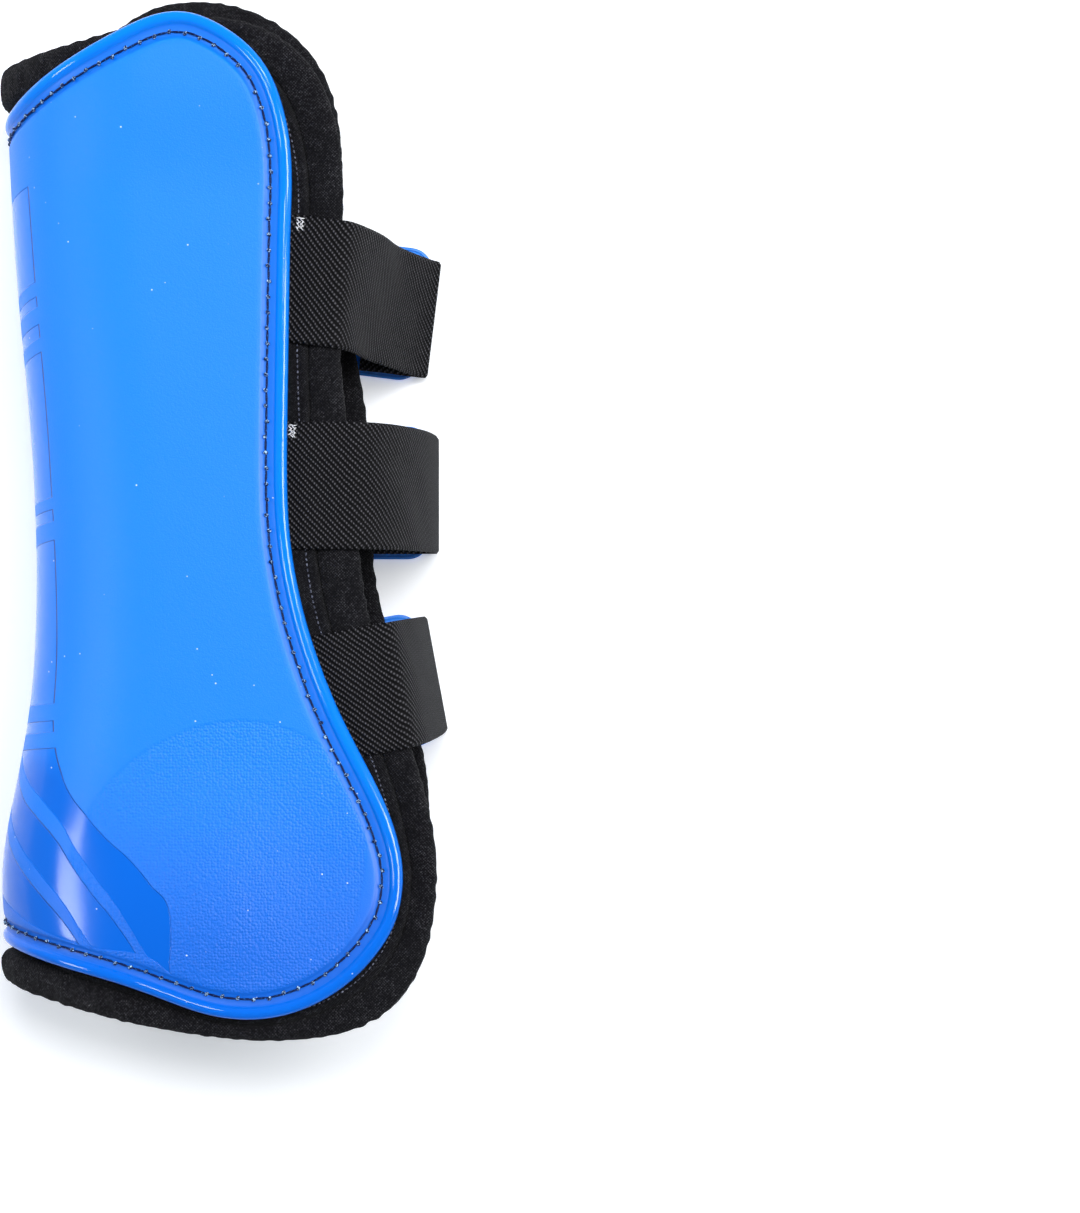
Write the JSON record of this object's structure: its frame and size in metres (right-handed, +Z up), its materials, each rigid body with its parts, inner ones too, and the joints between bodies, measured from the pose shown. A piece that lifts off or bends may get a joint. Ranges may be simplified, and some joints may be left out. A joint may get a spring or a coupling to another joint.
{
  "type": "equestrian tendon boot",
  "caption": "Open-front horse leg boot: rigid U-shaped shell with a raised rim over a padded lining, closed by elastic straps with hook-and-loop tabs.",
  "frame": {"origin": "centre of the bounding box's footprint, on the surface the boot lies on", "axes": "+Y up the leg, +X from the back of the leg to the open front, +Z up, through the boot from the far wing to the near one"},
  "size_m": [0.115, 0.2736, 0.0714],
  "materials": {
    "blue_pu": "glossy moulded polyurethane, satin inner panel",
    "blue_tab": "satin moulded polyurethane",
    "black_jersey": "knitted jersey face",
    "black_foam": "foam laminate with fabric face",
    "black_webbing": "woven elastic webbing, twill ribs",
    "hook_tape": "hook and loop tape",
    "navy_thread": "sewing thread",
    "black_thread": "sewing thread",
    "white_thread": "sewing thread"
  },
  "bodies": {
    "boot": {"shell": "blue_pu", "shell_stitching": "navy_thread", "foam_core": "black_foam", "inner_lining": "black_jersey", "lining_hem": "black_jersey", "hem_stitching": "black_thread", "upper_strap_root": "black_webbing", "upper_loop_patch": "hook_tape", "middle_strap_root": "black_webbing", "middle_loop_patch": "hook_tape", "lower_strap_root": "black_webbing", "lower_loop_patch": "hook_tape"},
    "upper_strap": {"upper_strap_band": "black_webbing", "upper_bartack": "white_thread"},
    "upper_closure": {"upper_strap_tail": "black_webbing", "upper_tab": "blue_tab", "upper_hook_patch": "hook_tape", "upper_tab_stitching": "black_thread"},
    "middle_strap": {"middle_strap_band": "black_webbing", "middle_bartack": "white_thread"},
    "middle_closure": {"middle_strap_tail": "black_webbing", "middle_tab": "blue_tab", "middle_hook_patch": "hook_tape", "middle_tab_stitching": "black_thread"},
    "lower_strap": {"lower_strap_band": "black_webbing"},
    "lower_closure": {"lower_strap_tail": "black_webbing", "lower_tab": "blue_tab", "lower_hook_patch": "hook_tape", "lower_tab_stitching": "black_thread"}
  },
  "joints": [
    {"name": "upper_strap_swing", "type": "hinge", "parent": "boot", "child": "upper_strap", "pos_m": [0.02369, 0.05454, 0.0642], "axis": [-0.1219, -0.9925, 0], "range_deg": [0, 60]},
    {"name": "upper_tab_peel", "type": "hinge", "parent": "upper_strap", "child": "upper_closure", "pos_m": [0.05391, 0.05083, 0.0018], "axis": [-0.1219, -0.9925, 0], "range_deg": [0, 120]},
    {"name": "middle_strap_swing", "type": "hinge", "parent": "boot", "child": "middle_strap", "pos_m": [0.02156, 0.00293, 0.0642], "axis": [0, -1, 0], "range_deg": [0, 60]},
    {"name": "middle_tab_peel", "type": "hinge", "parent": "middle_strap", "child": "middle_closure", "pos_m": [0.05501, 0.00293, 0.0018], "axis": [0, -1, 0], "range_deg": [0, 120]},
    {"name": "lower_strap_swing", "type": "hinge", "parent": "boot", "child": "lower_strap", "pos_m": [0.03627, -0.04917, 0.0642], "axis": [0.1822, -0.9833, 0], "range_deg": [0, 60]},
    {"name": "lower_tab_peel", "type": "hinge", "parent": "lower_strap", "child": "lower_closure", "pos_m": [0.05461, -0.04577, 0.0018], "axis": [0.1822, -0.9833, 0], "range_deg": [0, 120]}
  ],
  "couplings": [
    {"joint": "upper_strap_swing", "follows": "upper_tab_peel", "ratio": 0.5},
    {"joint": "middle_strap_swing", "follows": "middle_tab_peel", "ratio": 0.5},
    {"joint": "lower_strap_swing", "follows": "lower_tab_peel", "ratio": 0.5}
  ]
}
